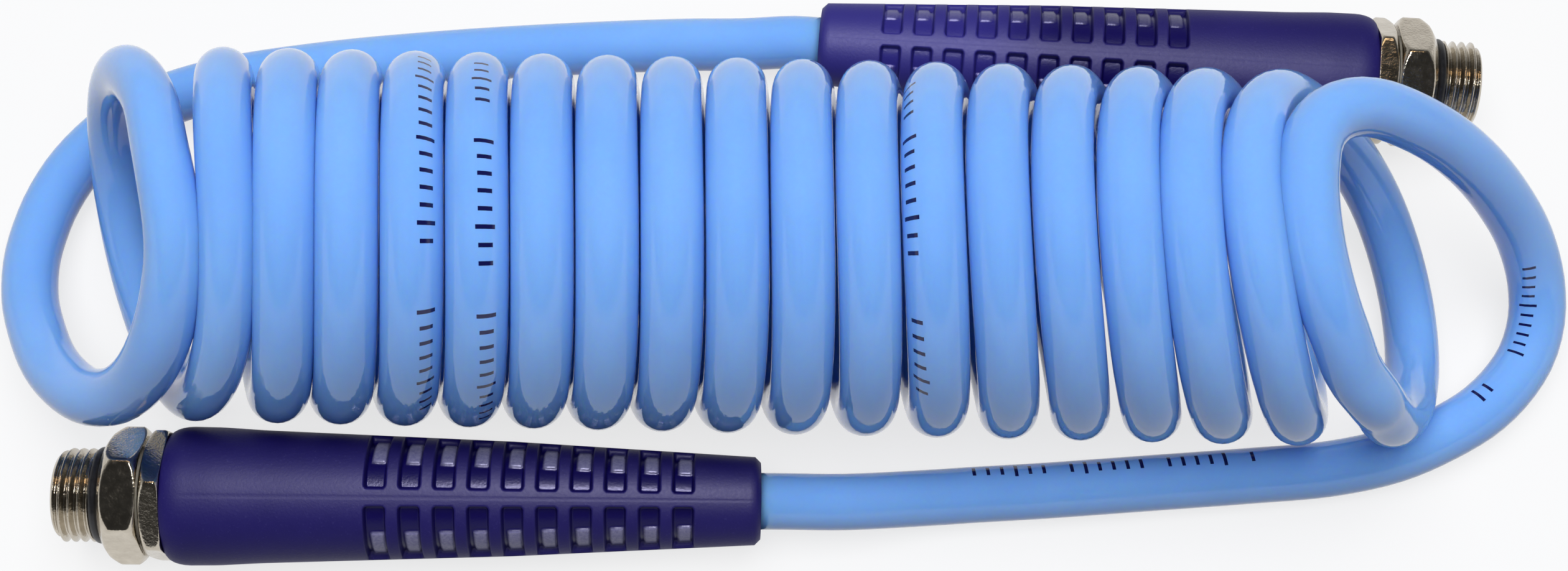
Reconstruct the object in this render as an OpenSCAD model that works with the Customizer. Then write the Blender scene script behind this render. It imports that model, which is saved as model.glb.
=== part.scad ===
// Coiled air hose: a preformed polyurethane hose with a swivelling male fitting in a
// moulded grip at each end. It lies on the XY plane with its coil along X.
// End A lies in front of the coil (-Y) and points to -X, end B lies behind it (+Y) and points to +X.

/* [Hose] */
// Outer diameter of the hose
hose_od = 8; // [7:0.1:8]
// Bore of the hose
hose_bore = 6; // [4.6:0.1:6.2]

/* [Coil] */
// Outer diameter of the coil
coil_od = 52.2; // [50:0.1:54]
// Spacing of the turns on the upper side, where they lie closest
coil_pitch = 8.47; // [8.47:0.01:9]
// Whole turns in the coil
coil_turns = 18; // [15:1:18]
// How strongly the lower half of the turns fans out from the coil's middle
coil_splay = 1; // [0.95:0.01:1.05]
// Angle of the coil's axis to X, seen from above
coil_yaw = -1.3; // [-2:0.1:0]

/* [Grip] */
// Length of the grip
grip_length = 83; // [70:0.5:95]
// Largest diameter of the grip, beside the fitting
grip_big_d = 19.5; // [18.6:0.1:20.5]
// Diameter of the grip where the hose enters
grip_small_d = 12.5; // [11.5:0.1:13.5]
// Diameter of the grip's face against the fitting
grip_face_d = 17; // [15:0.1:18]
// Length of the rounded edge at the grip's face
grip_dome = 3; // [2:0.1:4]
// Number of pockets in a row along the grip
pocket_count = 10; // [4:1:12]
// Spacing of the pockets
pocket_pitch = 4.73; // [3.8:0.01:4.9]
// Width of a pocket along the grip
pocket_width = 3; // [1.5:0.1:3.4]
// Depth of a pocket
pocket_depth = 1.2; // [0.4:0.1:1.4]
// Angle that one pocket covers round the grip
pocket_angle = 73; // [40:1:80]
// Distance from the grip's face to the middle of the first pocket
pocket_start = 29.5; // [24:0.5:32]

/* [Fitting] */
// Width across flats of both hexagons
hex_af = 17; // [16:0.1:18]
// Length of the fixed hexagon on the stem
stem_hex_length = 2.8; // [2.4:0.1:5]
// Length of the hexagon on the turning nipple
nipple_hex_length = 5.65; // [5:0.05:9]
// Diameter of the male thread over its crests
thread_d = 13.157; // [12.9:0.001:13.4]
// Pitch of the thread
thread_pitch = 1.337; // [1:0.001:1.5]
// Depth of the thread
thread_depth = 0.856; // [0.5:0.001:0.9]
// Number of thread grooves
thread_grooves = 3; // [3:1:6]
// Air passage through the stem
stem_bore = 4.2; // [3:0.1:4.4]
// Diameter of the journal that the nipple turns on
journal_d = 7.4; // [7.2:0.1:7.8]
// Thickness of the thrust washer between the hexagons
washer_thickness = 0.4; // [0.3:0.1:0.8]
// Length of the barbed tail in the hose
barb_length = 15; // [12:0.5:18]
// Length of the crimped ferrule
ferrule_length = 14; // [10:0.5:16]
// Wall of the crimped ferrule
ferrule_wall = 1.2; // [0.8:0.1:1.4]
// Thickness of the O-ring on the journal
o_ring_section = 1; // [0.8:0.05:1.1]
// Thickness of the seal ring at the root of the thread
seal_section = 1.3; // [1.1:0.05:1.5]
// Thickness of the retaining ring
ring_thickness = 0.6; // [0.4:0.1:0.8]

/* [Fits] */
// Radial clearance of the nipple on its journal
running_gap = 0.05; // [0.02:0.01:0.08]
// Radial clearance between pieces that are fixed to each other
seat_gap = 0.03; // [0.02:0.01:0.05]

/* [Hidden] */

hose_blue = [0.36, 0.60, 0.93];
grip_blue = [0.17, 0.12, 0.47];
nickel = [0.72, 0.70, 0.66];
steel = [0.55, 0.56, 0.58];
seal_black = [0.06, 0.06, 0.07];
washer_white = [0.92, 0.91, 0.88];

eps = 0.01;
round_fn = 64;

// Grip: distance from the face and diameter, along its outside
grip_shoulder = [7, 19.4];
grip_neck = [13, 18.7];
grip_waist = [48, 16.2];
mouth_round = 0.8;
dome_steps = 6;
function dome(i) =
    let (a = 90 * i / dome_steps)
    [grip_dome * (1 - cos(a)), grip_face_d / 2 + (grip_big_d - grip_face_d) / 2 * sin(a)];
big_scale = grip_big_d / 19.5;
grip_outline = concat(
    [for (i = [0:dome_steps]) dome(i)],
    [[grip_shoulder[0], grip_shoulder[1] / 2 * big_scale],
     [grip_neck[0], grip_neck[1] / 2 * big_scale],
     [grip_waist[0], grip_waist[1] / 2 * big_scale],
     [grip_length - mouth_round, grip_small_d / 2],
     [grip_length, grip_small_d / 2 - mouth_round]]
);
function grip_radius(s) = lookup(s, grip_outline);

// Fitting, measured outwards from the grip's face
washer_start = stem_hex_length;
nipple_start = washer_start + washer_thickness + running_gap;
thread_root = nipple_start + nipple_hex_length;
seal_groove_length = seal_section + 2 * seat_gap;
thread_start = thread_root + seal_groove_length;
land = 0.32;
thread_end = thread_start + thread_grooves * thread_pitch + land;
tip_chamfer = 0.9;
nipple_end = thread_end + tip_chamfer;
nipple_bore = journal_d + 2 * running_gap;
ring_setback = 2.4;
ring_start = nipple_end - ring_setback;
ring_gap = 0.1;
ring_groove_d = journal_d - 0.7;
ring_od = journal_d + 1.3;
mouth_d = ring_od + 0.5;
journal_end = ring_start + ring_thickness + 2 * ring_gap + 0.5;
o_ring_groove_d = nipple_bore - 2 * o_ring_section - 2 * running_gap;
o_ring_setback = 2.2;
o_ring_start = nipple_start + o_ring_setback;
o_ring_groove_length = o_ring_section + 0.2;
barb_root_d = hose_bore - 2 * seat_gap;
barb_count = 3;
barb_rise = 0.25;
barb_d = barb_root_d + 2 * barb_rise;
collar_length = 1;
ferrule_id = hose_od + 2 * seat_gap;
ferrule_od = ferrule_id + 2 * ferrule_wall;
hex_r = hex_af / 2 / cos(30);

// Corners turned off the hexagons: lengths along the axis, and the round faces that they leave
stem_near_chamfer = 0.6;
stem_far_chamfer = 1;
nipple_near_chamfer = 1;
nipple_far_chamfer = 2.3;
nipple_near_r = hex_r - 1.2 * nipple_near_chamfer;
nipple_far_r = hex_af / 2 - 1.3;

// The grips rest on the ground along their underside, so their axes rise towards the fittings
end_tilt = 2.1;
end_height = max([for (p = grip_outline) p[0] * sin(end_tilt) + p[1] * cos(end_tilt)]);
end_a_face = [-86.3, -33.6, end_height];
end_a_yaw = 180;
end_b_face = [88.2, 31, end_height];
end_b_yaw = -5.2;
// Clocking of grip ridges, stem hexagon and nipple hexagon about the fitting's axis
end_a_clock = [165.6, 55.7, 15.4];
end_b_clock = [194.4, 44, 57];
function unit(v) = v / norm(v);
function outward(yaw) = [cos(end_tilt) * cos(yaw), cos(end_tilt) * sin(yaw), sin(end_tilt)];
end_a_out = outward(end_a_yaw);
end_b_out = outward(end_b_yaw);
end_a_mouth = end_a_face - grip_length * end_a_out;
end_b_mouth = end_b_face - grip_length * end_b_out;

// Coil: a left-handed helix whose turns lie close on top and fan out towards the ground.
// Each table gives, for turns counted from the coil's middle, a shift along its axis.
rings_per_turn = 24;
coil_sides = 6;
coil_centre = [-6.1, -2];
coil_start = 2 / rings_per_turn;
coil_finish = coil_turns - 7 / rings_per_turn;
coil_r = (coil_od - hose_od) / 2;
lower_shift = [
    [-9, -26.5], [-8.5, -19.3], [-7.5, -8.7], [-6, -7.1], [-3, -4.3], [0, -1.2],
    [3, 5.1], [6, 12.7], [7.5, 16.7], [8.5, 25.5], [9, 29.3]
];
rear_shift = [
    [-9, -5.6], [-8.25, -3.4], [-7, -2.8], [-4, -2.5], [0, -1.8], [4, -1.4], [7, -0.7],
    [8, -0.2], [9, 2.4]
];
function coil_point(turn) =
    let (
        a = 360 * turn,
        m = turn - coil_turns / 2,
        x = coil_pitch * m + coil_splay * lookup(m, lower_shift) * (1 - cos(a)) / 2
            + lookup(m, rear_shift) * sin(a)
    )
    [coil_centre[0] + x, coil_centre[1] + x * tan(coil_yaw) + coil_r * sin(a),
     hose_od / 2 + coil_r + coil_r * cos(a)];
coil_rings = [for (i = [coil_start * rings_per_turn:coil_finish * rings_per_turn])
    coil_point(i / rings_per_turn)];
coil_tip_b_dir = unit([0.3, -0.92, 0.25]);
coil_tip_a_dir = unit([-0.42, -0.02, 0.9]);
coil_tip_b = coil_rings[0] + hose_od * coil_tip_b_dir;
coil_tip_a = coil_rings[len(coil_rings) - 1] + hose_od * coil_tip_a_dir;
coil_path = concat([coil_tip_b], coil_rings, [coil_tip_a]);

// Free stretches of the hose, from the coil's tips over their loops to the grips.
// Loop points are measured in X and Y from the tip, run points from the grip's mouth.
// Loop points rise with the coil's radius.
tail_sides = 8;
loop_rise = coil_r / 22.1;
mouth_lead = 1.5 * hose_od;
tail_a_loop = [
    [-4.2, 2.1, 36.2], [-6.4, 5.2, 40.6], [-8, 9.2, 44.1], [-9.3, 15.2, 46.9],
    [-9.6, 21.6, 48.2], [-9, 26.7, 48.2], [-8.2, 30.6, 47.8], [-6.6, 33.9, 46.8],
    [-3.9, 36, 45.2], [-0.1, 36.9, 42.9], [5.3, 36.8, 39.2], [11, 36.2, 34.4],
    [16.8, 34.8, 28.6], [22.5, 32.6, 21.6], [27.5, 29.3, 14.4], [30.3, 24.8, 9],
    [30.8, 19.9, 6], [29.4, 15, 4.4], [26.4, 10.6, 4], [21.8, 6.3, 4], [15.7, 2.7, 4],
    [8.7, -0.3, 4]
];
tail_a_run = [[82.5, 5.6, 4], [70.5, 4.5, 4], [55.8, 3.4, 4], [41, 2.3, 4], [26.7, 1.4, 4]];
tail_b_loop = [
    [1.6, -10.6, 47.2], [1.4, -14.2, 45.4], [0.7, -17.6, 43], [-0.2, -20.5, 40.2],
    [-1.7, -23.1, 36.8], [-3.4, -24.9, 32.6], [-5.7, -26.1, 27.6], [-8.5, -26.5, 23.4],
    [-12.7, -25.5, 19.6], [-17, -22.7, 16], [-21.4, -18.1, 12.4], [-24.8, -12.3, 9.4],
    [-27.1, -6.6, 7.2], [-28.1, -0.5, 5.6], [-27.8, 4.9, 4.6], [-26.5, 10.3, 4.1],
    [-24.1, 15.3, 4], [-20.2, 20.3, 4], [-14.9, 24.9, 4]
];
tail_b_run = [
    [-97.3, -7, 4], [-89.7, -4.9, 4], [-80.6, -3.3, 4], [-68.9, -1.8, 4], [-50.8, -0.2, 4],
    [-31.6, 0.8, 4], [-20, 1.1, 4.1]
];
function tail_path(tip, tip_dir, loop, run, mouth, out) = concat(
    [tip, tip + hose_od / 2 * tip_dir],
    [for (p = loop)
        [tip[0] + p[0], tip[1] + p[1], hose_od / 2 + loop_rise * (p[2] - hose_od / 2)]],
    [for (p = run) [mouth[0] + p[0], mouth[1] + p[1], p[2]]],
    [mouth - mouth_lead * out, mouth - mouth_lead / 3 * out, mouth]
);
tail_a_path = tail_path(coil_tip_a, coil_tip_a_dir, tail_a_loop, tail_a_run, end_a_mouth,
                        end_a_out);
tail_b_path = tail_path(coil_tip_b, coil_tip_b_dir, tail_b_loop, tail_b_run, end_b_mouth,
                        end_b_out);

// Least gap of the coil to its own turns, from each ring to the stretches of the next turn
function to_segment(p, a, b) =
    let (t = (p - a) * (b - a) / ((b - a) * (b - a)))
    norm(p - a - min(1, max(0, t)) * (b - a));
function least_gap(path) =
    min([for (i = [0:len(path) - 1])
         for (j = [i + rings_per_turn / 2:min(i + 1.7 * rings_per_turn, len(path) - 2)])
         to_segment(path[i], path[j], path[j + 1])]) - hose_od;
echo(coil_least_gap = least_gap(coil_path));
function total(path) =
    let (steps = [for (i = [1:len(path) - 1]) norm(path[i] - path[i - 1])])
    steps * [for (s = steps) 1];
echo(coil_length = total(coil_path), tail_a = total(tail_a_path), tail_b = total(tail_b_path));

// A tube of many rings along a path; side_at gives each ring's first corner direction
function along(path, i) =
    unit(path[min(i + 1, len(path) - 1)] - path[max(i - 1, 0)]);
function square_to(v, t) = unit(v - (v * t) * t);
module tube(path, sides, corners) {
    rings = len(path);
    points = [for (i = [0:rings - 1])
        let (t = along(path, i), u = square_to(corners[i], t), v = cross(t, u))
        for (k = [0:sides - 1])
            path[i] + hose_od / 2 * (cos(360 * k / sides) * u + sin(360 * k / sides) * v)];
    walls = [for (i = [0:rings - 2]) for (k = [0:sides - 1])
        let (a = i * sides + k, b = i * sides + (k + 1) % sides)
        each [[a, a + sides, b], [b, a + sides, b + sides]]];
    near_cap = [for (k = [1:sides - 2]) [0, k, k + 1]];
    last = (rings - 1) * sides;
    far_cap = [for (k = [1:sides - 2]) [last, last + k + 1, last + k]];
    polyhedron(points, concat(near_cap, walls, far_cap), convexity = 10);
}

module hose_coil() {
    color(hose_blue)
        tube(coil_path, coil_sides, [for (p = coil_path)
            [0, p[1] - coil_centre[1] - (p[0] - coil_centre[0]) * tan(coil_yaw),
             p[2] - hose_od / 2 - coil_r]]);
}

// The upward direction at the first ring, carried along the path without twisting
function carried(path, u = [0, 0, 1], i = 0, done = []) =
    i == len(path) ? done
    : let (w = square_to(u, along(path, i))) carried(path, w, i + 1, concat(done, [w]));

module hose_tail(path) {
    color(hose_blue) tube(path, tail_sides, carried(path));
}

// A round piece from r1 to r2 between two places on the fitting's axis
module ring(r1, r2, from, to) {
    translate([0, 0, from]) rotate_extrude($fn = round_fn)
        translate([r1, 0]) square([r2 - r1, to - from]);
}

// A hexagon with its corners turned off at both ends
module chamfered_hex(from, to, near_face_r, far_face_r, near_length, far_length) {
    intersection() {
        translate([0, 0, from - eps]) cylinder(r = hex_r, h = to - from + 2 * eps, $fn = 6);
        rotate_extrude($fn = round_fn)
            polygon([[0, from], [near_face_r, from], [hex_r, from + near_length],
                     [hex_r, to - far_length], [far_face_r, to], [0, to]]);
    }
}

module hose_end() {
    color(hose_blue)
        difference() {
            translate([0, 0, -grip_length])
                cylinder(d = hose_od, h = grip_length - collar_length, $fn = round_fn);
            translate([0, 0, -grip_length - eps])
                cylinder(d = hose_bore, h = grip_length, $fn = round_fn);
            translate([0, 0, -collar_length - barb_length])
                cylinder(d = barb_d + 2 * seat_gap, h = barb_length + eps, $fn = round_fn);
        }
}

// A pocket's section: its floor follows the grip's outline
function pocket_outline(s) =
    let (from = s - pocket_width / 2, to = s + pocket_width / 2)
    [[grip_radius(from) - pocket_depth, -from], [grip_big_d, -from], [grip_big_d, -to],
     [grip_radius(to) - pocket_depth, -to]];

module grip(clock) {
    pocket_edge = (90 - pocket_angle) / 2;
    color(grip_blue)
        rotate([0, 0, clock])
            difference() {
                rotate_extrude($fn = round_fn)
                    polygon(concat([[0, 0]], [for (p = grip_outline) [p[1], -p[0]]],
                                   [[0, -grip_length]]));
                translate([0, 0, -grip_length - eps])
                    cylinder(d = hose_od + 2 * seat_gap, h = grip_length + 2 * eps, $fn = round_fn);
                translate([0, 0, -collar_length - ferrule_length - seat_gap])
                    cylinder(d = ferrule_od + 2 * seat_gap, h = collar_length + ferrule_length + 1,
                             $fn = round_fn);
                for (i = [0:pocket_count - 1], side = [0:3])
                    let (s = pocket_start + i * pocket_pitch)
                        rotate([0, 0, 90 * side + pocket_edge])
                            rotate_extrude(angle = pocket_angle, $fn = round_fn)
                                polygon(pocket_outline(s));
            }
}

module ferrule() {
    color(steel)
        ring(ferrule_id / 2, ferrule_od / 2, -collar_length - ferrule_length, -collar_length);
}

module stem(clock) {
    barb_step = barb_length / barb_count;
    color(nickel)
        difference() {
            union() {
                for (i = [0:barb_count - 1])
                    translate([0, 0, -collar_length - barb_length + i * barb_step])
                        cylinder(d1 = barb_root_d, d2 = barb_d, h = barb_step, $fn = round_fn);
                translate([0, 0, -collar_length])
                    cylinder(d = ferrule_od, h = collar_length, $fn = round_fn);
                rotate([0, 0, clock])
                    chamfered_hex(0, stem_hex_length, hex_r - stem_near_chamfer,
                                  hex_r - 1.2 * stem_far_chamfer, stem_near_chamfer,
                                  stem_far_chamfer);
                cylinder(d = journal_d, h = journal_end, $fn = round_fn);
            }
            translate([0, 0, -collar_length - barb_length - eps])
                cylinder(d = stem_bore, h = journal_end + collar_length + barb_length + 2 * eps,
                         $fn = round_fn);
            ring(o_ring_groove_d / 2, journal_d, o_ring_start, o_ring_start + o_ring_groove_length);
            ring(ring_groove_d / 2, journal_d, ring_start + ring_gap,
                 ring_start + ring_gap + ring_thickness + ring_gap);
        }
}

module thrust_washer() {
    color(washer_white)
        ring(journal_d / 2 + seat_gap, hex_af / 2 - 1.6, washer_start,
             washer_start + washer_thickness);
}

// A round-section ring seated on a groove of diameter d
module seal_ring(d, section, middle) {
    translate([0, 0, middle]) rotate_extrude($fn = round_fn)
        translate([(d + section) / 2 + seat_gap / 2, 0]) circle(d = section, $fn = 24);
}

module o_ring() {
    color(seal_black)
        seal_ring(o_ring_groove_d, o_ring_section, o_ring_start + o_ring_groove_length / 2);
}

module retaining_ring() {
    opening = 40;
    color(steel)
        translate([0, 0, ring_start + 1.5 * ring_gap])
            rotate_extrude(angle = 360 - opening, $fn = round_fn)
                translate([ring_groove_d / 2 + seat_gap, 0])
                    square([(ring_od - ring_groove_d) / 2 - seat_gap, ring_thickness]);
}

// Outline of the threaded end, from inside the hexagon to its tip: crests and grooves
thread_r = thread_d / 2;
seal_groove_d = thread_d - 2 * seal_section + 0.4;
thread_overlap = nipple_hex_length / 2;
thread_outline = concat(
    [[0, thread_root - thread_overlap], [seal_groove_d / 2, thread_root - thread_overlap],
     [seal_groove_d / 2, thread_start]],
    [for (i = [0:thread_grooves - 1]) let (crest = thread_start + i * thread_pitch)
        each [[thread_r, crest], [thread_r, crest + land],
              [thread_r - thread_depth, crest + (thread_pitch + land) / 2]]],
    [[thread_r, thread_end - land], [thread_r, thread_end],
     [thread_r - tip_chamfer, nipple_end], [0, nipple_end]]
);

module nipple(clock) {
    color(nickel)
        difference() {
            union() {
                rotate([0, 0, clock])
                    chamfered_hex(nipple_start, thread_root, nipple_near_r, nipple_far_r,
                                  nipple_near_chamfer, nipple_far_chamfer);
                rotate_extrude($fn = round_fn) polygon(thread_outline);
            }
            cylinder(d = nipple_bore, h = nipple_end + eps, $fn = round_fn);
            translate([0, 0, ring_start])
                cylinder(d = mouth_d, h = nipple_end - ring_start + eps, $fn = round_fn);
        }
}

module thread_seal() {
    color(seal_black)
        seal_ring(seal_groove_d, seal_section, (thread_root + thread_start) / 2);
}

module at_end_a() {
    translate(end_a_face) rotate([0, 90 - end_tilt, end_a_yaw]) children();
}

module at_end_b() {
    translate(end_b_face) rotate([0, 90 - end_tilt, end_b_yaw]) children();
}

hose_coil();
hose_tail(tail_a_path);  // hose_tail_a
hose_tail(tail_b_path);  // hose_tail_b
at_end_a() hose_end();  // hose_end_a
at_end_a() grip(end_a_clock[0]);  // grip_a
at_end_a() ferrule();  // ferrule_a
at_end_a() stem(end_a_clock[1]);  // stem_a
at_end_a() thrust_washer();  // thrust_washer_a
at_end_a() o_ring();  // o_ring_a
at_end_a() retaining_ring();  // retaining_ring_a
at_end_a() nipple(end_a_clock[2]);  // nipple_a
at_end_a() thread_seal();  // thread_seal_a
at_end_b() hose_end();  // hose_end_b
at_end_b() grip(end_b_clock[0]);  // grip_b
at_end_b() ferrule();  // ferrule_b
at_end_b() stem(end_b_clock[1]);  // stem_b
at_end_b() thrust_washer();  // thrust_washer_b
at_end_b() o_ring();  // o_ring_b
at_end_b() retaining_ring();  // retaining_ring_b
at_end_b() nipple(end_b_clock[2]);  // nipple_b
at_end_b() thread_seal();  // thread_seal_b
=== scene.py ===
import math

import bpy
import numpy as np
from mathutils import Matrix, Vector


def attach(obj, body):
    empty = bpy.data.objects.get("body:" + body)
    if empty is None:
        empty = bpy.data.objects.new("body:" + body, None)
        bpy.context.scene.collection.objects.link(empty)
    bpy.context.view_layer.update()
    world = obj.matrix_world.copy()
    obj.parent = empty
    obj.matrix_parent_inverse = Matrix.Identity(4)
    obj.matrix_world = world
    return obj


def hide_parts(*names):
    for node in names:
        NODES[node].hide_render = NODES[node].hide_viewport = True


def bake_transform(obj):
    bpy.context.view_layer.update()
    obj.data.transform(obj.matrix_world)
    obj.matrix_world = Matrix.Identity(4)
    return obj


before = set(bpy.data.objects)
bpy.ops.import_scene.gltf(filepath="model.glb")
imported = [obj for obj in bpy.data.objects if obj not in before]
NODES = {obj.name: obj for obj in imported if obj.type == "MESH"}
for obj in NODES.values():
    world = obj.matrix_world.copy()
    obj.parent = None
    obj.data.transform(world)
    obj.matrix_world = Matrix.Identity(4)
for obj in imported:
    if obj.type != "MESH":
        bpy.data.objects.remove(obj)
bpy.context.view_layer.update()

MM = 0.001


# ---------------------------------------------------------------- camera
def look_at(obj, target):
    obj.rotation_mode = "QUATERNION"
    obj.rotation_quaternion = (Vector(target) - obj.location).to_track_quat("-Z", "Y")


camera_data = bpy.data.cameras.new("camera")
camera_data.lens = 51.84  # with the camera's place below, a fit to the photograph's proportions
camera_data.sensor_width = 36
camera_data.clip_start = 0.01
camera = bpy.data.objects.new("camera", camera_data)
bpy.context.scene.collection.objects.link(camera)
camera.location = (0, -0.11469, 0.3195)
look_at(camera, (0, 0.0016, 0))
bpy.context.scene.camera = camera


# ---------------------------------------------------------------- hose centreline, in mm
def unit(v):
    v = np.asarray(v, float)
    return v / np.linalg.norm(v)


def smooth_table(x, knots):
    """Monotone cubic interpolation through (x, y) knots, flat beyond the ends."""
    kx, ky = np.array(knots, float).T
    h, d = np.diff(kx), np.diff(ky) / np.diff(kx)
    slope = np.zeros(len(kx))
    slope[0], slope[-1] = d[0], d[-1]
    same = d[:-1] * d[1:] > 0
    w1, w2 = 2 * h[1:] + h[:-1], h[1:] + 2 * h[:-1]
    inner = np.zeros(len(d) - 1)
    before, after = np.where(same, d[:-1], 1), np.where(same, d[1:], 1)
    inner[same] = (w1 + w2)[same] / (w1 / before + w2 / after)[same]
    slope[1:-1] = inner
    x = np.clip(np.asarray(x, float), kx[0], kx[-1])
    i = np.clip(np.searchsorted(kx, x) - 1, 0, len(h) - 1)
    t = (x - kx[i]) / h[i]
    return ((1 + 2 * t) * (1 - t) ** 2 * ky[i] + t * (1 - t) ** 2 * h[i] * slope[i]
            + t * t * (3 - 2 * t) * ky[i + 1] + t * t * (t - 1) * h[i] * slope[i + 1])


TURNS = 18
COIL_PITCH = 8.47
COIL_R = 22.1
HOSE_R = 4.0
COIL_YAW = math.radians(-1.3)
COIL_CENTRE = (-6.1, -2.0, HOSE_R + COIL_R)
# Moves of the turns along X at their lower side and at their rear, by turn from the middle one
LOWER_SHIFT = [(-9, -26.5), (-8.5, -19.3), (-7.5, -8.7), (-6, -7.1), (-3, -4.3), (0, -1.2),
               (3, 5.1), (6, 12.7), (7.5, 16.7), (8.5, 25.5), (9, 29.3)]
REAR_SHIFT = [(-9, -5.6), (-8.25, -3.4), (-7, -2.8), (-4, -2.5), (0, -1.8), (4, -1.4), (7, -0.7),
              (8, -0.2), (9, 2.4)]
# Small moves of the turns along X, by turn, where the turns lie closest
NUDGE = [(0, 2.2), (0.1, 1.6), (0.25, 0.9), (0.45, 1.4), (0.6, 2.0), (0.85, 2.0), (0.95, 1.5),
         (1.05, 0.8), (1.3, 0.5), (1.6, 0.2), (1.93, 0.4), (2.3, 0), (15.7, 0), (16.03, -0.5),
         (16.4, 0), (16.8, -0.1), (16.95, -0.6), (17.03, -1.2), (17.2, -1.0), (17.4, 1.2),
         (17.6, 0.6), (18, 0)]


def coil_point(turn):
    """Point on the coil's centreline at a turn number, from 0 on top at end B to TURNS at end A."""
    turn = np.asarray(turn, float)
    a, m = 2 * np.pi * turn, turn - TURNS / 2
    x = (COIL_PITCH * m + smooth_table(m, LOWER_SHIFT) * (1 - np.cos(a)) / 2
         + smooth_table(m, REAR_SHIFT) * np.sin(a))
    y = COIL_CENTRE[1] + x * math.tan(COIL_YAW) + COIL_R * np.sin(a)
    return np.stack([COIL_CENTRE[0] + x + smooth_table(turn, NUDGE), y,
                     COIL_CENTRE[2] + COIL_R * np.cos(a)], axis=-1)


END_TILT = math.radians(2.1)
FACE_HEIGHT = 9.95
GRIP_LENGTH = 83.0
# Each end's grip face in mm, its heading, the turns of its grip, stem and nipple round their axis
# in degrees, the bodies they ride on, and how strong its painted step highlight and painted mouth
# light are
ENDS = {
    "a": {"face": (-86.3, -33.6, FACE_HEIGHT), "yaw": math.radians(180), "clock": (165.6, 55.7, 15.4),
          "body": "end_a", "nipple": "nipple_a", "painted_step_highlight": 1.0, "painted_mouth_light": 0.0},
    "b": {"face": (88.2, 31.0, FACE_HEIGHT), "yaw": math.radians(-5.2), "clock": (194.4, 44.0, 57.0),
          "body": "root", "nipple": "nipple_b", "painted_step_highlight": 0.25, "painted_mouth_light": 0.85},
}
for end in ENDS.values():
    tilt, yaw = END_TILT, end["yaw"]
    end["out"] = np.array([math.cos(tilt) * math.cos(yaw), math.cos(tilt) * math.sin(yaw),
                           math.sin(tilt)])
    # local X, Y, Z of the fitting in the row frame
    end["axes"] = np.array([
        [math.sin(tilt) * math.cos(yaw), math.sin(tilt) * math.sin(yaw), -math.cos(tilt)],
        [-math.sin(yaw), math.cos(yaw), 0],
        end["out"],
    ])
    end["face"] = np.array(end["face"])
    end["mouth"] = end["face"] - GRIP_LENGTH * end["out"]

# Free stretches, from the coil to the grips: points and their small moves along X
TAIL_A = [(75.6, -23.5, 36.2, -0.6), (73.4, -20.4, 40.6, -0.8), (71.8, -16.4, 44.1, -1.4),
          (70.5, -10.4, 46.9, -1.9), (70.2, -4, 48.2, -2.2), (70.8, 1.1, 48.2, -2.3),
          (71.6, 5, 47.8, -2.1), (73.2, 8.3, 46.8, -1.2), (75.9, 10.4, 45.2, -0.3),
          (79.7, 11.3, 42.9, 0), (85.1, 11.2, 39.2, 0), (90.8, 10.6, 34.4, 0), (96.6, 9.2, 28.6, 0),
          (102.3, 7, 21.6, 0), (107.3, 3.7, 14.4, 0), (110.1, -0.8, 9, 0), (110.6, -5.7, 6, 0),
          (109.2, -10.6, 4.4, 0), (106.2, -15, 4, 0), (101.6, -19.3, 4, 0), (95.5, -22.9, 4, 0),
          (88.5, -25.9, 4, 0), (79.1, -28, 4, 0), (67.1, -29.1, 4, 0), (52.4, -30.2, 4, 0),
          (37.6, -31.3, 4, 0), (23.3, -32.2, 4, 0), (8.64, -33.6, 6.47, 0)]
TAIL_B = [(-82.0, -7.1, 47.2, 2.8), (-82.2, -10.7, 45.4, 3.1), (-82.9, -14.1, 43, 3.2),
          (-83.8, -17, 40.2, 3.0), (-85.3, -19.6, 36.8, 2.8), (-87, -21.4, 32.6, 2.2),
          (-89.3, -22.6, 27.6, 1.2), (-92.1, -23, 23.4, 0.3), (-96.3, -22, 19.6, 0),
          (-100.6, -19.2, 16, 0), (-105, -14.6, 12.4, 0), (-108.4, -8.8, 9.4, 0),
          (-110.7, -3.1, 7.2, 0), (-111.7, 3, 5.6, 0), (-111.4, 8.4, 4.6, 0),
          (-110.1, 13.8, 4.1, 0), (-107.7, 18.8, 4, 0), (-103.8, 23.8, 4, 0), (-98.5, 28.4, 4, 0),
          (-91.7, 31.5, 4, 0), (-84.1, 33.6, 4, 0), (-75, 35.2, 4, 0), (-63.3, 36.7, 4, 0),
          (-45.2, 38.2, 4.2, 0), (-26, 39.0, 4.8, 0), (-14.4, 39.1, 5.4, 0), (-6.4, 38.85, 6.0, 0)]


def tail_points(tip, direction, tail, end):
    """Control points of a free stretch from just past the coil's tip to the mouth of its grip."""
    loop = [np.array([x + dx, y, z]) for x, y, z, dx in tail]
    lead = [end["mouth"] - 4 * end["out"], end["mouth"]]
    return [tip + 4 * unit(direction)] + loop + lead


def catmull_rom(points, step):
    """Points about step apart on a centripetal Catmull-Rom spline through points."""
    p = np.asarray(points, float)
    p = np.vstack([2 * p[0] - p[1], p, 2 * p[-1] - p[-2]])
    out = []
    for i in range(1, len(p) - 2):
        gaps = np.linalg.norm(np.diff(p[i - 1:i + 3], axis=0), axis=1)
        k0, k1, k2, k3 = np.concatenate([[0], np.cumsum(gaps ** 0.5)])
        n = max(1, int(round(np.linalg.norm(p[i + 1] - p[i]) / step)))
        t = k1 + (k2 - k1) * np.arange(n)[:, None] / n

        def mix(a, b, ka, kb):
            return ((kb - t) * a + (t - ka) * b) / (kb - ka)

        a1, a2, a3 = (mix(p[i - 1], p[i], k0, k1), mix(p[i], p[i + 1], k1, k2),
                      mix(p[i + 1], p[i + 2], k2, k3))
        out.append(mix(mix(a1, a2, k0, k2), mix(a2, a3, k1, k3), k1, k2))
    return np.vstack(out + [p[-2:-1]])


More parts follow.
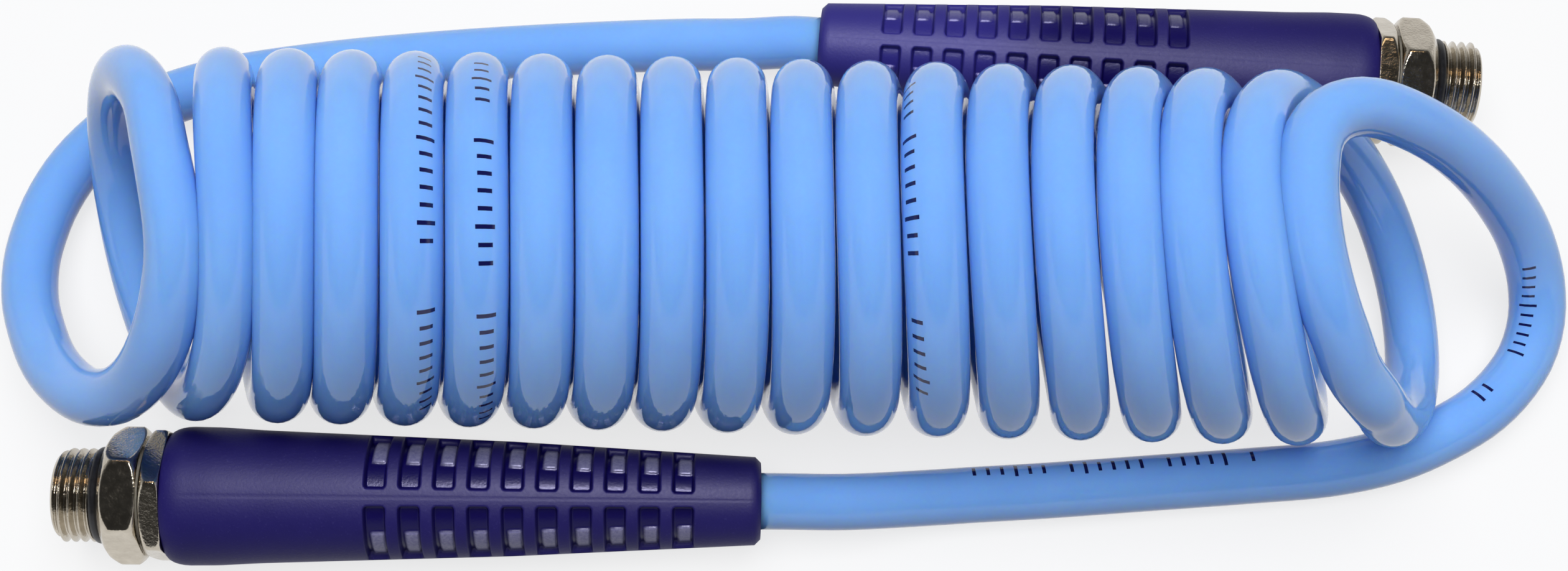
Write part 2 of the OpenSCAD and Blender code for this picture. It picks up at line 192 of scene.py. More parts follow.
PER_TURN = 24  # control points
COIL_FIRST, COIL_LAST = 2 / PER_TURN, TURNS - 7 / PER_TURN
TIP_B_DIR, TIP_A_DIR, TIP_GAP = (0.3, -0.92, 0.25), (-0.42, -0.02, 0.9), 8
STEP = 2.0  # between the hose's rings
REST_Z = 4.03  # of the centreline where the hose lies on the ground
coil_turns = np.linspace(COIL_FIRST, COIL_LAST, PER_TURN * TURNS + 1)
coil_line = coil_point(coil_turns)
tip_b = coil_line[0] + TIP_GAP * unit(TIP_B_DIR)
tip_a = coil_line[-1] + TIP_GAP * unit(TIP_A_DIR)
tail_b = tail_points(tip_b, TIP_B_DIR, TAIL_B, ENDS["b"])
tail_a = tail_points(tip_a, TIP_A_DIR, TAIL_A, ENDS["a"])
controls = tail_b[::-1] + [tip_b] + list(coil_line) + [tip_a] + tail_a
line = catmull_rom(controls, 1.0)
along = np.concatenate([[0], np.cumsum(np.linalg.norm(np.diff(line, axis=0), axis=1))])
HOSE_LENGTH = along[-1]
at = np.linspace(0, HOSE_LENGTH, int(HOSE_LENGTH / STEP) + 1)
line = np.stack([np.interp(at, along, line[:, k]) for k in range(3)], axis=1)
line[:, 2] = np.maximum(line[:, 2], REST_Z)


def arc_at(point):
    """Arc length of the hose's point nearest to a control point."""
    return at[np.argmin(np.linalg.norm(line - point, axis=1))]


ARC_B, ARC_A = arc_at(tip_b), arc_at(tip_a)


# ---------------------------------------------------------------- mesh helpers
def add_object(name, verts, faces, uvs=None):
    """A mesh object from points in mm. uvs holds one pair for each corner of each face."""
    mesh = bpy.data.meshes.new(name)
    mesh.from_pydata((np.asarray(verts) * MM).tolist(), [], faces)
    if uvs is not None:
        layer = mesh.uv_layers.new(name="UVMap")
        layer.data.foreach_set("uv", np.asarray(uvs, np.float32).ravel())
    mesh.polygons.foreach_set("use_smooth", [True] * len(mesh.polygons))
    mesh.update()
    obj = bpy.data.objects.new(name, mesh)
    bpy.context.scene.collection.objects.link(obj)
    return obj


def frames_along(points, start_index, start_up):
    """Tangents, and directions square to them that start as start_up and don't twist."""
    tangent = np.gradient(points, axis=0)
    tangent /= np.linalg.norm(tangent, axis=1)[:, None]
    up = np.zeros_like(points)
    up[start_index] = unit(start_up - (start_up @ tangent[start_index]) * tangent[start_index])
    for order in (range(start_index + 1, len(points)), range(start_index - 1, -1, -1)):
        before = start_index
        for i in order:
            v = up[before] - (up[before] @ tangent[i]) * tangent[i]
            up[i] = v / np.linalg.norm(v)
            before = i
    return tangent, up


def tube(name, points, ups, sides, half_up, half_side):
    """A closed tube along points. Its section is an oval, half_up high along ups."""
    tangent = np.gradient(points, axis=0)
    tangent /= np.linalg.norm(tangent, axis=1)[:, None]
    side = np.cross(tangent, ups)
    theta = 2 * np.pi * np.arange(sides) / sides
    rings = (points[:, None] + (half_up[:, None] * np.cos(theta))[..., None] * ups[:, None]
             + (half_side[:, None] * np.sin(theta))[..., None] * side[:, None])
    n = len(points)
    verts = np.vstack([rings.reshape(-1, 3), points[:1], points[-1:]])
    faces, uvs = [], []
    length = np.concatenate([[0], np.cumsum(np.linalg.norm(np.diff(points, axis=0), axis=1))]) * MM
    for i in range(n - 1):
        for k in range(sides):
            k2 = (k + 1) % sides
            faces.append((i * sides + k, i * sides + k2, (i + 1) * sides + k2, (i + 1) * sides + k))
            uvs += [(length[i], k / sides), (length[i], (k + 1) / sides),
                    (length[i + 1], (k + 1) / sides), (length[i + 1], k / sides)]
    for k in range(sides):
        k2 = (k + 1) % sides
        faces.append((n * sides, k2, k))
        uvs += [(0, 0), (0, 0), (0, 0)]
        faces.append((n * sides + 1, (n - 1) * sides + k, (n - 1) * sides + k2))
        uvs += [(length[-1], 0)] * 3
    return add_object(name, verts, faces, uvs)


# ---------------------------------------------------------------- the hose
HOSE_SIDES = 32
# ups point away from the coil's axis along the coil, and don't twist along the free stretches
axis_y = COIL_CENTRE[1] + (line[:, 0] - COIL_CENTRE[0]) * math.tan(COIL_YAW)
radial = line - np.stack([line[:, 0], axis_y, np.full(len(line), COIL_CENTRE[2])], axis=1)
inside = np.where((at > ARC_B + 10) & (at < ARC_A - 10))[0]
tangent, up = frames_along(line, inside[0], radial[inside[0]])
up_b = up[:inside[0]].copy()
for i in inside:
    up[i] = unit(radial[i] - (radial[i] @ tangent[i]) * tangent[i])
tangent, up_after = frames_along(line, inside[-1], up[inside[-1]])
up[:inside[0]] = up_b
up[inside[-1]:] = up_after[inside[-1]:]

# width across the turns by turn number, in mm, and of the free stretches
WIDTH = [(0, 7.3), (0.9, 7.4), (1.4, 7.9), (2.2, 8.25), (15.5, 8.25), (16.4, 8.1), (17.2, 7.8),
         (17.75, 7.6)]
FREE_WIDTH, UP_WIDTH, WIDTH_BLEND = 8.1, 8.05, 45
turn_at = np.interp(at, [ARC_B, ARC_A], [COIL_FIRST, COIL_LAST])
side_width = smooth_table(turn_at, WIDTH)
free = np.clip(np.maximum(ARC_B + 12 - at, at - ARC_A + 4) / WIDTH_BLEND, 0, 1)
free = free * free * (3 - 2 * free)
side_width = side_width * (1 - free) + FREE_WIDTH * free
hose = tube("hose", line, up, HOSE_SIDES, np.full(len(line), UP_WIDTH / 2), side_width / 2)
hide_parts("hose_coil", "hose_tail_a", "hose_tail_b")


# Plain ink ticks on the hose: for each stretch, arc lengths in mm and its middle line's angle there
TICKS = [
    [(755, 37.4), (764, 35.8), (773, 36.4)],
    [(779, 37), (786, 36.4), (792, 34.2), (799, 30.4), (809, 22.5)],
    [(893, 27.2), (904, 25.8), (912, 24.6)],
    [(916, 23.8), (926, 22), (932, 20)],
    [(937, 17), (947, 9)],
    [(1879, -36.7), (1885, -41), (1891, -45.5)],
    [(1896, -48), (1904, -49.4), (1912, -50.5)],
    [(1915, -51.5), (1922, -54)],
    [(2834, 146), (2837, 156), (2841, 163), (2848, 167), (2854, 165.5)],
    [(2860, 163.5), (2864, 163)],
    [(2897, 166.5), (2900, 166.8)],
    [(2901, 166.8), (2911, 168.5)],
    [(2914, 169), (2925, 172)],
    [(2928, 173.5), (2940, 179.5)],
]


def tick_marks():
    """How far each vertex of the hose is inside 2 mm from the ticks' middle line, in mm, and 1 on
    each face that carries a tick."""
    theta = 360 * np.arange(HOSE_SIDES) / HOSE_SIDES
    near, marked = np.zeros((len(at), HOSE_SIDES)), np.zeros((len(at) - 1, HOSE_SIDES))
    for stretch in TICKS:
        arcs, angles = np.array(stretch, float).T
        here = (at >= arcs[0] - 3) & (at <= arcs[-1] + 3)
        off = np.abs((theta - np.interp(at[here], arcs, angles)[:, None] + 180) % 360 - 180)
        near[here] = np.clip(2 - np.radians(off) * HOSE_R, 0, 2)
        marked[(at[:-1] >= arcs[0] - 1) & (at[1:] <= arcs[-1] + 1)] = 1
    # the tube's two end points, and the faces round them, come last
    return np.append(near.ravel(), [0] * 2), np.append(marked.ravel(), [0] * 2 * HOSE_SIDES)


for mark, domain, values in zip(("tick_near", "tick_here"), ("POINT", "FACE"), tick_marks()):
    layer = hose.data.attributes.new(mark, "FLOAT", domain)
    layer.data.foreach_set("value", values.astype(np.float32))


# ---------------------------------------------------------------- grips and fittings
def on_end(end, points):
    """Points from a fitting's own frame to the row frame, in mm."""
    return np.asarray(points) @ end["axes"] + end["face"]


def lathe(name, end, outer, inner, sides, radius, clock=0.0, marks=None):
    """A closed solid round a fitting's axis. outer and inner are rows of heights and radii.
    radius(z, r, theta) gives an outer row's radius at each angle, and each function in marks a
    value painted on it there."""
    theta = 2 * np.pi * np.arange(sides) / sides
    a = theta + math.radians(clock)
    radii = [(z, radius(z, r, theta)) for z, r in outer] + inner
    verts = [np.stack([r * np.cos(a), r * np.sin(a), np.full(sides, z)], axis=1) for z, r in radii]
    rows = len(verts)
    faces = []
    for i in range(rows):
        j = (i + 1) % rows
        for k in range(sides):
            k2 = (k + 1) % sides
            faces.append((i * sides + k, i * sides + k2, j * sides + k2, j * sides + k))
    obj = add_object(name, on_end(end, np.vstack(verts)), faces)
    for mark, value in (marks or {}).items():
        values = [value(z, r, theta) for z, r in outer] + [np.zeros(sides)] * len(inner)
        layer = obj.data.attributes.new(mark, "FLOAT", "POINT")
        layer.data.foreach_set("value", np.concatenate(values).astype(np.float32))
    return obj


# Grip: distance from its face and radius. The face's edge is a quarter of an oval
GRIP_SIDES, METAL_SIDES = 240, 288
EDGE_LENGTH, EDGE_R, EDGE_RISE = 3, 8.5, 1.25
GRIP_OUTLINE = [(EDGE_LENGTH * (1 - math.cos(math.radians(15 * i))),
                 EDGE_R + EDGE_RISE * math.sin(math.radians(15 * i))) for i in range(7)]
GRIP_OUTLINE += [(7, 9.7), (13, 9.35), (48, 8.1), (82.2, 6.25), (GRIP_LENGTH, 5.45)]
POCKETS = [29.5 + 4.73 * i for i in range(10)]
POCKET_HALF, POCKET_DEPTH, POCKET_ARC, POCKET_CORNER = 1.5, 1.2, math.radians(36.5), 0.55
STEP_HEIGHT, PARTING_DEPTH = 0.35, 0.05


def pocket_share(s, theta):
    """0 on the grip's skin to 1 on a pocket's floor."""
    base = np.interp(s, *np.array(GRIP_OUTLINE).T)
    quarter = (theta % (np.pi / 2)) - np.pi / 4
    share = np.zeros_like(theta)
    for centre in POCKETS:
        if abs(s - centre) > POCKET_HALF + 0.4:
            continue
        # distance outside a rectangle with round corners, and negative inside it
        qx = np.abs(s - centre) - (POCKET_HALF - POCKET_CORNER)
        qy = np.abs(quarter) * base - (base * POCKET_ARC - POCKET_CORNER)
        gap = (np.hypot(np.maximum(qx, 0), np.maximum(qy, 0))
               + np.minimum(np.maximum(qx, qy), 0) - POCKET_CORNER)
        t = np.clip((0.12 - gap) / 0.42, 0, 1)
        share = np.maximum(share, t * t * (3 - 2 * t))
    return share


def from_parting(theta):
    """Angle from the nearer of the grip's two parting lines, in degrees."""
    return np.degrees(np.abs((theta + np.pi / 2) % np.pi - np.pi / 2))


def step_share(s, theta):
    """1 on the rough step at the outer end of a pocket's floor."""
    near = min(POCKETS, key=lambda centre: abs(s - centre))
    t = np.clip((0.95 - abs(s - near - 0.3)) / 0.2, 0, 1)
    a = from_parting(theta)
    return t * np.clip((a - 38) / 2.5, 0, 1) * np.clip((80 - a) / 2.5, 0, 1)


def mouth_light_share(s, theta):
    """0 over a grip's thick half to 1 near its mouth, where light is painted on as a paler skin."""
    t = min(max((s - 44) / 18, 0), 1)
    return np.full_like(theta, t * t * (3 - 2 * t))


def grip_radius(s, theta):
    base = np.interp(s, *np.array(GRIP_OUTLINE).T)
    parting = PARTING_DEPTH * np.clip(1 - from_parting(theta) / 1.5, 0, 1) * (3 < s < 82)
    return (base - POCKET_DEPTH * pocket_share(s, theta) + STEP_HEIGHT * step_share(s, theta)
            - parting)


def grip_rows():
    """Distances from a grip's face of its rows of vertices, which lie close at a pocket's edges."""
    rows = {0.0, GRIP_LENGTH, 82.2, 82.6}
    rows |= {round(EDGE_LENGTH * (1 - math.cos(math.radians(7.5 * i))), 4) for i in range(13)}
    rows |= set(np.arange(3.5, 28, 1.0).tolist()) | set(np.arange(75, 82, 0.7).tolist())
    for c in POCKETS:
        for d in (0, 0.45, 0.85, 1.05, 1.2, 1.3, 1.4, 1.5, 1.62, 1.8, 2.1):
            rows |= {round(c - d, 4), round(c + d, 4)}
    return sorted(row for row in rows if 0 <= row <= GRIP_LENGTH)


HOSE_HOLE_R, COLLAR_HOLE_R, COLLAR_HOLE_DEPTH = 4.2, 5.3, 15.03
for key, end in ENDS.items():
    outer = [(-s, s) for s in grip_rows()]
    inner = [(-GRIP_LENGTH, HOSE_HOLE_R), (-COLLAR_HOLE_DEPTH, HOSE_HOLE_R),
             (-COLLAR_HOLE_DEPTH, COLLAR_HOLE_R), (0.0, COLLAR_HOLE_R)]
    # Two marks paint light on the grip: a paler skin towards its mouth and a pale highlight on its
    # pockets' steps.
    grip = lathe("grip_shell_" + key, end, outer, inner, GRIP_SIDES,
                 lambda z, s, theta: grip_radius(s, theta), clock=end["clock"][0],
                 marks={"pocket": lambda z, s, theta: pocket_share(s, theta),
                        "painted_mouth_light": lambda z, s, theta: end["painted_mouth_light"] * mouth_light_share(s, theta),
                        "step": lambda z, s, theta: end["painted_step_highlight"] * step_share(s, theta)})
    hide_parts("grip_" + key)
    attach(grip, end["body"])
    end["grip"] = grip

# Fitting: heights along it from its grip's face, and radii
HEX_HALF = 8.5  # across its flats
HEX_R = HEX_HALF / math.cos(math.radians(30))
HEX_FROM_R = 7.0  # a row of a larger radius is on a hexagon
STEM_HEX_END, NIPPLE_START, THREAD_ROOT = 2.8, 3.25, 8.9
THREAD_START, THREAD_END, NIPPLE_END = 10.26, 14.591, 15.491
O_RING_GROOVE, RING_SEAT, RING_GROOVE, JOURNAL_END = (5.45, 6.65), 13.091, (13.191, 13.891), 14.391
THREAD_PITCH, THREAD_DEPTH, CREST_R = 1.337, 0.856, 6.5785
TIP_R = CREST_R - (NIPPLE_END - THREAD_END)
SEAL_GROOVE_R, NIPPLE_BORE_R, RING_ROOM_R = 5.4785, 3.75, 4.6
JOURNAL_R, O_RING_SEAT_R, RING_SEAT_R, STEM_BORE_R = 3.7, 2.7, 3.35, 2.1
BARB_END, BARB_STEP, BARBS = -16, 5, 3


def hexed(r, theta, sharp=80.0):
    """Radius of a hexagon turned down to r, with slightly rounded edges."""
    flats = (np.cos(theta - math.radians(30 + 60 * i)) / HEX_HALF for i in range(6))
    gauge = sum(np.maximum(flat, 0) ** sharp for flat in flats)
    return (gauge + (1 / r) ** sharp) ** (-1 / sharp)


def nipple_radius(z, r, theta):
    """The thread is a helix that fades in at its root and runs out through the tip's chamfer."""
    if r > HEX_FROM_R:
        return hexed(r, theta)
    if THREAD_START <= z <= NIPPLE_END:
        phase = ((z - THREAD_START) / THREAD_PITCH + theta / (2 * np.pi) + 0.16) % 1.0
        tooth = np.clip(1.35 * (1 - 2 * np.abs(phase - 0.5)) - 0.18, 0, 1)
        fade = np.clip((z - THREAD_START + 0.1) / 0.5, 0, 1)
        return np.minimum(r, CREST_R - THREAD_DEPTH * (1 - tooth) * fade)
    return np.full_like(theta, r)


def stem_radius(z, r, theta):
    return hexed(r, theta) if r > HEX_FROM_R else np.full_like(theta, r)


def rising(points, step):
    """More rows along straight stretches of an outline, at most step apart."""
    out = [points[0]]
    for (z0, r0), (z1, r1) in zip(points, points[1:]):
        n = max(1, int(math.ceil(math.hypot(z1 - z0, r1 - r0) / step)))
        out += [(z0 + (z1 - z0) * i / n, r0 + (r1 - r0) * i / n) for i in range(1, n + 1)]
    return out


for key, end in ENDS.items():
    hexagon = [(NIPPLE_START, 7.1), (NIPPLE_START, HEX_R - 1.2), (NIPPLE_START + 0.35, HEX_R - 0.62),
               (NIPPLE_START + 1, HEX_R + 0.05), (THREAD_ROOT - 2.3, HEX_R + 0.05),
               (THREAD_ROOT - 1, HEX_R - 1.0), (THREAD_ROOT, 7.2)]
    groove = [(THREAD_ROOT, 7.01), (THREAD_ROOT, SEAL_GROOVE_R), (THREAD_START, SEAL_GROOVE_R),
              (THREAD_START, CREST_R)]
    heights = list(np.arange(THREAD_START + 0.04, NIPPLE_END - 0.02, 0.09)) + [NIPPLE_END]
    thread = [(z, min(CREST_R, TIP_R + NIPPLE_END - z)) for z in heights]
    inner = [(NIPPLE_END, RING_ROOM_R + 0.15), (NIPPLE_END - 0.141, RING_ROOM_R),
             (RING_SEAT, RING_ROOM_R), (RING_SEAT, NIPPLE_BORE_R), (NIPPLE_START, NIPPLE_BORE_R)]
    nipple = lathe("nipple_body_" + key, end, rising(hexagon, 0.35) + groove + thread, inner,
                   METAL_SIDES, nipple_radius, clock=end["clock"][2])
    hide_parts("nipple_" + key)
    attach(nipple, end["nipple"])
    barbs = []
    for i in range(BARBS):
        barbs += [(BARB_END + BARB_STEP * i, 2.97), (BARB_END + BARB_STEP * (i + 1) - 0.05, 3.22)]
    collar = [(-1.0, 3.22), (-1.0, 5.2), (0.0, 5.2), (0.0, HEX_R - 0.6), (0.3, HEX_R - 0.25),
              (0.6, HEX_R + 0.05), (STEM_HEX_END - 1, HEX_R + 0.05), (STEM_HEX_END - 0.5, HEX_R - 0.5),
              (STEM_HEX_END, HEX_R - 1.2), (STEM_HEX_END, 7.1)]
    journal = [(STEM_HEX_END, JOURNAL_R), (O_RING_GROOVE[0], JOURNAL_R)]
    journal += [(z, O_RING_SEAT_R) for z in O_RING_GROOVE]
    journal += [(O_RING_GROOVE[1], JOURNAL_R), (RING_GROOVE[0], JOURNAL_R)]
    journal += [(z, RING_SEAT_R) for z in RING_GROOVE]
    journal += [(RING_GROOVE[1], JOURNAL_R), (JOURNAL_END - 0.141, JOURNAL_R),
                (JOURNAL_END, JOURNAL_R - 0.15)]
    stem = lathe("stem_body_" + key, end, barbs + rising(collar, 0.3) + journal,
                 [(JOURNAL_END, STEM_BORE_R), (BARB_END, STEM_BORE_R)], METAL_SIDES, stem_radius,
                 clock=end["clock"][1])
    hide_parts("stem_" + key)
    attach(stem, end["body"])
    end["metal"] = [nipple, stem]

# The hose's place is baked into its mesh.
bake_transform(hose)


# ---------------------------------------------------------------- materials
def material(name, **inputs):
    """A Principled material with these inputs set, its node tree and its shader."""
    mat = bpy.data.materials.new(name)
    mat.use_nodes = True
    bsdf = mat.node_tree.nodes["Principled BSDF"]
    for key, value in inputs.items():
        bsdf.inputs[key.replace("_", " ")].default_value = value
    return mat, mat.node_tree, bsdf


def linear(r, g, b):
    """sRGB 0-255 to a linear colour."""
    def one(c):
        c /= 255
        return c / 12.92 if c <= 0.04045 else ((c + 0.055) / 1.055) ** 2.4
    return (one(r), one(g), one(b), 1)


def noise(tree, scale, detail=2.0, rough=0.5, coord=None):
    node = tree.nodes.new("ShaderNodeTexNoise")
    node.inputs["Scale"].default_value = scale
    node.inputs["Detail"].default_value = detail
    node.inputs["Roughness"].default_value = rough
    if coord is not None:
        tree.links.new(coord, node.inputs["Vector"])
    return node.outputs["Fac"]


def ramp(tree, factor, stops):
    """Colour by factor, through stops of (position, colour)."""
    node = tree.nodes.new("ShaderNodeValToRGB")
    while len(node.color_ramp.elements) > 1:
        node.color_ramp.elements.remove(node.color_ramp.elements[0])
    node.color_ramp.elements[0].position, node.color_ramp.elements[0].color = stops[0]
    for position, colour in stops[1:]:
        node.color_ramp.elements.new(position).color = colour
    tree.links.new(factor, node.inputs["Fac"])
    return node.outputs["Color"]


def bump(tree, bsdf, height, strength, distance):
    node = tree.nodes.new("ShaderNodeBump")
    node.inputs["Strength"].default_value = strength
    node.inputs["Distance"].default_value = distance
    tree.links.new(height, node.inputs["Height"])
    tree.links.new(node.outputs["Normal"], bsdf.inputs["Normal"])


def mix_colour(tree, factor, a, b):
    """a where factor is 0 and b where it is 1; each is a socket or a colour."""
    node = tree.nodes.new("ShaderNodeMix")
    node.data_type = "RGBA"
    for value, socket in ((factor, node.inputs["Factor"]), (a, node.inputs[6]), (b, node.inputs[7])):
        if isinstance(value, bpy.types.NodeSocket):
            tree.links.new(value, socket)
        else:
            socket.default_value = value
    return node.outputs[2]


def painted(tree, mark):
    """The value of a mesh attribute."""
    node = tree.nodes.new("ShaderNodeAttribute")
    node.attribute_name = mark
    return node.outputs["Fac"]


def object_coord(tree):
    return tree.nodes.new("ShaderNodeTexCoord").outputs["Object"]


def grey(v):
    return (v, v, v, 1)


def maths(tree, operation, a, b=0.0):
    node = tree.nodes.new("ShaderNodeMath")
    node.operation = operation
    for value, socket in zip((a, b), node.inputs):
        if isinstance(value, bpy.types.NodeSocket):
            tree.links.new(value, socket)
        else:
            socket.default_value = value
    return node.outputs[0]


TICK_PITCH = 0.002
SUBSURFACE = 0.6


def ticks(tree):
    """1 on the ink: bars across the hose 2 mm apart, each fifth a little longer."""
    split = tree.nodes.new("ShaderNodeSeparateXYZ")
    tree.links.new(tree.nodes.new("ShaderNodeTexCoord").outputs["UV"], split.inputs[0])
    count = maths(tree, "DIVIDE", split.outputs["X"], TICK_PITCH)
    bar = maths(tree, "LESS_THAN", maths(tree, "FRACT", maths(tree, "ADD", count, 0.6)), 0.25)
    in_five = maths(tree, "FRACT", maths(tree, "DIVIDE", maths(tree, "FLOOR", count), 5))
    fifth = maths(tree, "LESS_THAN", in_five, 0.1)
    limit = maths(tree, "SUBTRACT", 1.05, maths(tree, "MULTIPLY", fifth, 0.35))
    bar = maths(tree, "MULTIPLY", bar, maths(tree, "GREATER_THAN", painted(tree, "tick_near"), limit))
    return maths(tree, "MULTIPLY", bar, maths(tree, "GREATER_THAN", painted(tree, "tick_here"), 0.5))


def hose_material():
    """Glossy, slightly translucent polyurethane, with opaque ink on it."""
    mat, tree, bsdf = material("hose_blue", Roughness=0.06, Subsurface_Weight=SUBSURFACE, IOR=1.5)
    bsdf.inputs["Subsurface Radius"].default_value = (0.12, 0.3, 1.0)
    bsdf.inputs["Subsurface Scale"].default_value = 0.004
    coord = object_coord(tree)
    colour = ramp(tree, noise(tree, 60, 2, 0.5, coord),
                  [(0.3, linear(124, 177, 243)), (0.7, linear(131, 183, 247))])
    ink = ticks(tree)
    tree.links.new(mix_colour(tree, ink, colour, linear(16, 18, 74)), bsdf.inputs["Base Color"])
    tree.links.new(maths(tree, "SUBTRACT", SUBSURFACE, maths(tree, "MULTIPLY", ink, 0.5)),
                   bsdf.inputs["Subsurface Weight"])
    rough = ramp(tree, noise(tree, 240, 3, 0.6, coord), [(0.35, grey(0.04)), (0.75, grey(0.10))])
    tree.links.new(rough, bsdf.inputs["Roughness"])
    bump(tree, bsdf, noise(tree, 900, 2, 0.5, coord), 0.05, 0.0004)
    return mat


def grip_material():
    """Satin moulded plastic with a fine dusty grain: smoother and deeper blue in its pockets, with a
    painted highlight on their steps and painted light that pales the skin where the mesh says so."""
    mat, tree, bsdf = material("grip_navy", IOR=1.36, Specular_IOR_Level=0.35)
    coord = object_coord(tree)
    grain = noise(tree, 2600, 3, 0.65, coord)
    colour = ramp(tree, noise(tree, 70, 3, 0.6, coord),
                  [(0.3, linear(20, 12, 84)), (0.7, linear(28, 20, 94))])
    dust = ramp(tree, grain, [(0.6, grey(0)), (0.78, grey(0.35))])
    colour = mix_colour(tree, dust, colour, linear(70, 66, 128))
    colour = mix_colour(tree, painted(tree, "pocket"), colour, linear(13, 5, 74))
    # Painted light: the skin turns paler towards the mouth, as if more light fell there.
    colour = mix_colour(tree, painted(tree, "painted_mouth_light"), colour, linear(48, 43, 126))
    # Painted highlight: a pale lilac colour on the pockets' steps stands in for the lamp's reflection
    # there.
    painted_step_highlight = ramp(tree, grain, [(0.3, linear(108, 106, 146)), (0.7, linear(138, 136, 166))])
    colour = mix_colour(tree, painted(tree, "step"), colour, painted_step_highlight)
    tree.links.new(colour, bsdf.inputs["Base Color"])
    rough = ramp(tree, grain, [(0.3, grey(0.5)), (0.7, grey(0.58))])
    rough = mix_colour(tree, painted(tree, "pocket"), rough, grey(0.3))
    tree.links.new(rough, bsdf.inputs["Roughness"])
    bump(tree, bsdf, grain, 0.16, 0.0002)
    return mat


def nickel_material():
    """Bright nickel over a fine orange-peel surface."""
    mat, tree, bsdf = material("nickel", Roughness=0.14, Metallic=1.0)
    coord = object_coord(tree)
    tree.links.new(ramp(tree, noise(tree, 500, 3, 0.6, coord),
                        [(0.3, linear(182, 174, 160)), (0.7, linear(200, 192, 178))]),
                   bsdf.inputs["Base Color"])
    tree.links.new(ramp(tree, noise(tree, 900, 2, 0.6, coord), [(0.3, grey(0.1)), (0.7, grey(0.22))]),
                   bsdf.inputs["Roughness"])
    bump(tree, bsdf, noise(tree, 3000, 2, 0.5, coord), 0.2, 0.0002)
    return mat


def plain_material(name, low, high, scale, **inputs):
    """A colour that wanders between low and high, over a fine grain."""
    mat, tree, bsdf = material(name, **inputs)
    coord = object_coord(tree)
    tree.links.new(ramp(tree, noise(tree, scale, 3, 0.6, coord), [(0.3, low), (0.7, high)]),
                   bsdf.inputs["Base Color"])
    bump(tree, bsdf, noise(tree, scale * 2, 2, 0.5, coord), 0.15, 0.0001)
    return mat


HOSE, GRIP, NICKEL = hose_material(), grip_material(), nickel_material()
STEEL = plain_material("zinc_steel", linear(150, 152, 156), linear(182, 184, 188), 900,
                       Metallic=1.0, Roughness=0.35)
SEAL = plain_material("black_rubber", linear(20, 20, 22), linear(34, 34, 37), 1400, Roughness=0.4)
WASHER = plain_material("washer_plastic", linear(226, 224, 214), linear(240, 238, 230), 1100,
                        Roughness=0.45)


def dress(obj, mat):
    obj.data.materials.clear()
    obj.data.materials.append(mat)


dress(hose, HOSE)
for key, end in ENDS.items():
    dress(end["grip"], GRIP)
    for piece in end["metal"]:
        dress(piece, NICKEL)
    dress(NODES["hose_end_" + key], HOSE)
    for node, mat in (("ferrule_", STEEL), ("retaining_ring_", STEEL), ("o_ring_", SEAL),
                      ("thread_seal_", SEAL), ("thrust_washer_", WASHER)):
        dress(NODES[node + key], mat)


# ---------------------------------------------------------------- floor and light
def floor():
    """A pale floor that keeps the object's shadow. The camera and mirrors see it lighter."""
    bpy.ops.mesh.primitive_plane_add(size=8, location=(0, 0, 0))
    plane = bpy.context.active_object
    plane.name = "floor"
    mat = bpy.data.materials.new("floor")
    mat.use_nodes = True
    tree = mat.node_tree
    tree.nodes.clear()
    out = tree.nodes.new("ShaderNodeOutputMaterial")
    diffuse = tree.nodes.new("ShaderNodeBsdfDiffuse")
    diffuse.inputs["Color"].default_value = grey(0.2)
    glow = tree.nodes.new("ShaderNodeEmission")
    path = tree.nodes.new("ShaderNodeLightPath")
    seen = maths(tree, "MAXIMUM", path.outputs["Is Camera Ray"], path.outputs["Is Glossy Ray"])
    tree.links.new(maths(tree, "MULTIPLY", seen, 0.75), glow.inputs["Strength"])
    add = tree.nodes.new("ShaderNodeAddShader")
    tree.links.new(diffuse.outputs[0], add.inputs[0])
    tree.links.new(glow.outputs[0], add.inputs[1])
    tree.links.new(add.outputs[0], out.inputs["Surface"])
    plane.data.materials.append(mat)


def area(name, location, target, size, size_y, power, colour=(1, 1, 1)):
    """A rectangular lamp at location that looks at target."""
    data = bpy.data.lights.new(name, "AREA")
    data.shape, data.size, data.size_y = "RECTANGLE", size, size_y
    data.energy, data.color = power, colour
    obj = bpy.data.objects.new(name, data)
    bpy.context.scene.collection.objects.link(obj)
    obj.location = location
    look_at(obj, target)
    return obj


AMBIENT = (0.06, 0.07, 0.11, 1)  # what matt surfaces get from the world


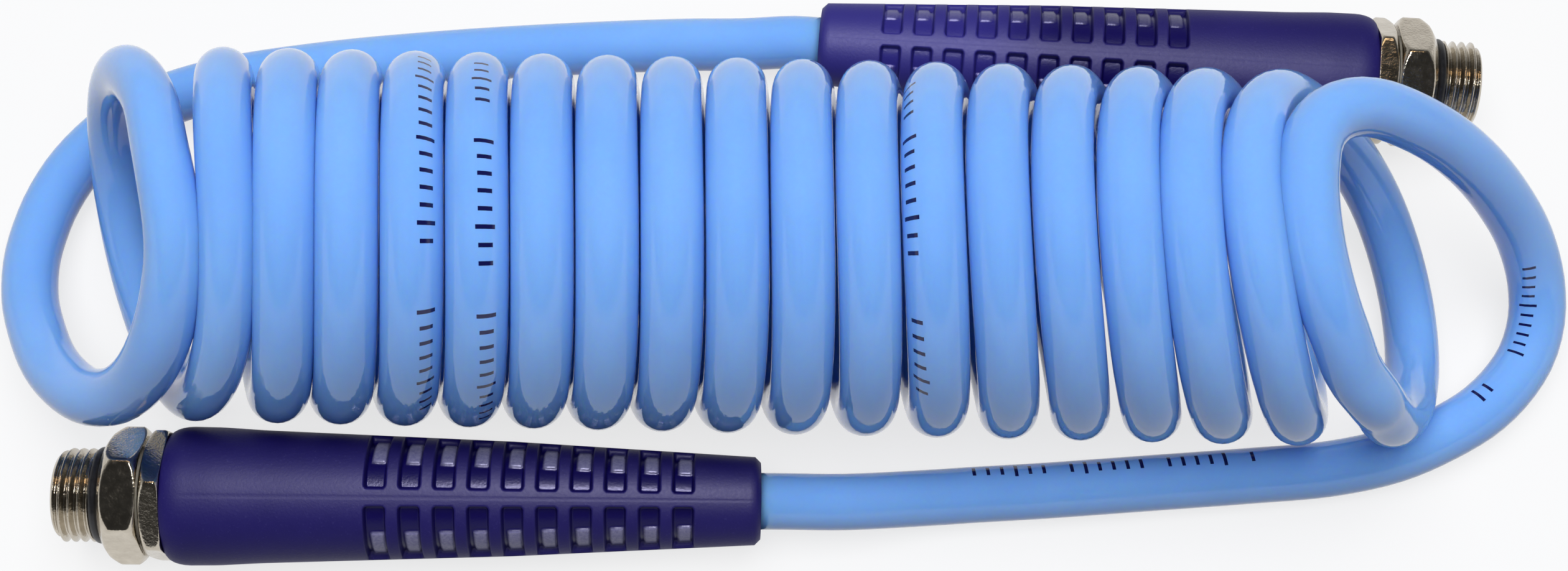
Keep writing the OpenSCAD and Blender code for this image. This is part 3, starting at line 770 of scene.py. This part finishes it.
def studio_world():
    """Plain light for matt surfaces. Mirrors and the camera see a pale low backdrop under a dim
    ceiling."""
    world = bpy.data.worlds.new("world")
    bpy.context.scene.world = world
    world.use_nodes = True
    tree = world.node_tree
    tree.nodes.clear()
    out = tree.nodes.new("ShaderNodeOutputWorld")
    coord = tree.nodes.new("ShaderNodeTexCoord").outputs["Generated"]
    split = tree.nodes.new("ShaderNodeSeparateXYZ")
    tree.links.new(coord, split.inputs[0])
    # brightness by height, for the front half and for the back half
    front = ramp(tree, split.outputs["Z"], [(0.0, grey(0.95)), (0.36, grey(0.9)), (0.48, grey(0.06)),
                                            (1.0, grey(0.03))])
    back = ramp(tree, split.outputs["Z"], [(0.0, grey(0.6)), (0.3, grey(0.42)), (0.6, grey(0.12)),
                                           (1.0, grey(0.03))])
    side = tree.nodes.new("ShaderNodeMapRange")
    side.inputs["From Min"].default_value, side.inputs["From Max"].default_value = -0.15, 0.15
    tree.links.new(split.outputs["Y"], side.inputs["Value"])
    seen = mix_colour(tree, side.outputs["Result"], front, back)
    path = tree.nodes.new("ShaderNodeLightPath")
    direct = maths(tree, "MAXIMUM", path.outputs["Is Camera Ray"], path.outputs["Is Glossy Ray"])
    direct = maths(tree, "MAXIMUM", direct, path.outputs["Is Transmission Ray"])
    colour = mix_colour(tree, direct, AMBIENT, seen)
    background = tree.nodes.new("ShaderNodeBackground")
    tree.links.new(colour, background.inputs["Color"])
    tree.links.new(background.outputs[0], out.inputs["Surface"])


def only_for(lamp, objects):
    """The lamp lights these objects alone."""
    group = bpy.data.collections.new(lamp.name + "_receivers")
    for obj in objects:
        group.objects.link(obj)
    lamp.light_linking.receiver_collection = group


floor()
key_light = area("key", (0, 0.06, 0.95), (0, 0, 0), 0.9, 0.9, 11.6)
key_light.visible_glossy = False
metal = [piece for end in ENDS.values() for piece in end["metal"]]
flash = area("flash", (0, -0.035, 0.38), (0, 0, 0), 0.05, 0.05, 0.3)
warm = area("warm", (0, 0.1, 0.32), (0, 0, 0), 0.3, 0.04, 0.16, (1, 0.7, 0.4))
gleam_a = area("gleam_a", (0.02, 0.0, 0.38), (0, -0.03, 0), 0.1, 0.1, 4.0, (0.72, 0.69, 1))
gleam_b = area("gleam_b", (-0.04, -0.02, 0.4), (0.03, 0.03, 0), 0.2, 0.2, 5.0, (0.72, 0.7, 1))
gleam_a.visible_diffuse = gleam_b.visible_diffuse = False
only_for(flash, metal)
only_for(warm, metal)
only_for(gleam_a, [ENDS["a"]["grip"]])
only_for(gleam_b, [ENDS["b"]["grip"]])
for lamp in (key_light, flash, warm, gleam_a, gleam_b):
    lamp.visible_camera = False
studio_world()
bpy.context.scene.view_settings.view_transform = "Standard"
